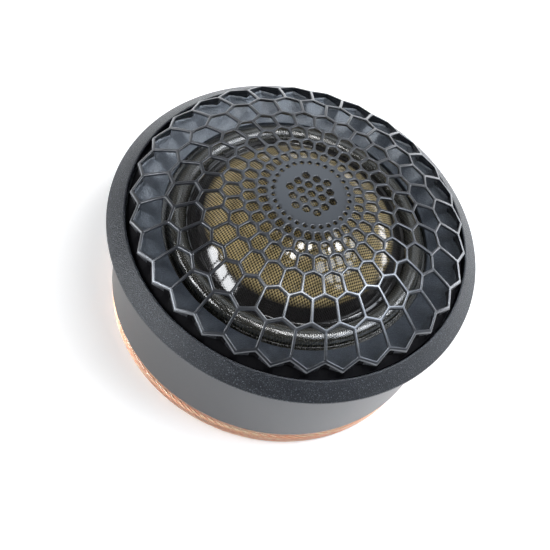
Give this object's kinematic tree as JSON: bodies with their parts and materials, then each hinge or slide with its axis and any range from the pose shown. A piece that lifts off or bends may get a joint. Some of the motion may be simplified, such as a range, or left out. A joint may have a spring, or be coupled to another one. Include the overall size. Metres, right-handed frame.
{
  "type": "car tweeter",
  "caption": "Round car tweeter: silk dome behind a domed honeycomb grille, in a bevelled flush-mount cup, its flat lead wound beneath.",
  "frame": {"origin": "bottom centre: on the axis, where the magnet pot and the wound lead stand", "axes": "+Z along the axis of the tweeter, out through the grille; +Y towards the terminals and the end of the lead"},
  "size_m": [0.05, 0.05, 0.0276],
  "materials": {
    "cup_plastic": "fine spark-eroded texture on the flange, satin on the barrel",
    "grille_plastic": "satin",
    "guide_plastic": "satin",
    "chassis_plastic": "plain moulded",
    "foam": "closed cell foam",
    "surround_cloth": "coated weave, glossy",
    "dome_silk": "coated silk weave, glossy",
    "former_foil": "thin foil",
    "copper_wire": "bare and enamelled copper",
    "plated_steel": "zinc plated",
    "magnet_nickel": "nickel plated",
    "copper_sheet": "pressed copper",
    "felt": "wool felt",
    "phenolic_board": "laminate",
    "brass_plate": "tinned brass",
    "solder": "solder",
    "clear_jacket": "clear flexible jacket over copper strands"
  },
  "bodies": {
    "frame": {"mounting_cup": "cup_plastic", "grille": "grille_plastic", "waveguide": "guide_plastic", "gasket_ring": "foam", "chassis_ring": "chassis_plastic", "surround": "surround_cloth", "yoke_pot": "plated_steel", "magnet": "magnet_nickel", "pole_plate": "plated_steel", "shorting_cap": "copper_sheet", "felt_pad": "felt", "terminal_board": "phenolic_board", "solder_lugs": "brass_plate", "rivets": "brass_plate", "lead_out_braids": "copper_wire", "solder_joints": "solder", "stripped_ends": "copper_wire", "lead_saddle": "chassis_plastic", "lead_coil": "clear_jacket", "tinned_tips": "solder"},
    "diaphragm": {"dome": "dome_silk", "voice_coil_former": "former_foil", "voice_coil_winding": "copper_wire"}
  },
  "joints": [
    {"name": "diaphragm_travel", "type": "slide", "parent": "frame", "child": "diaphragm", "axis": [0, 0, 1], "range_m": [-0.0004, 0.0004], "stiffness_N_per_m": 200, "deforming": ["surround"]}
  ]
}
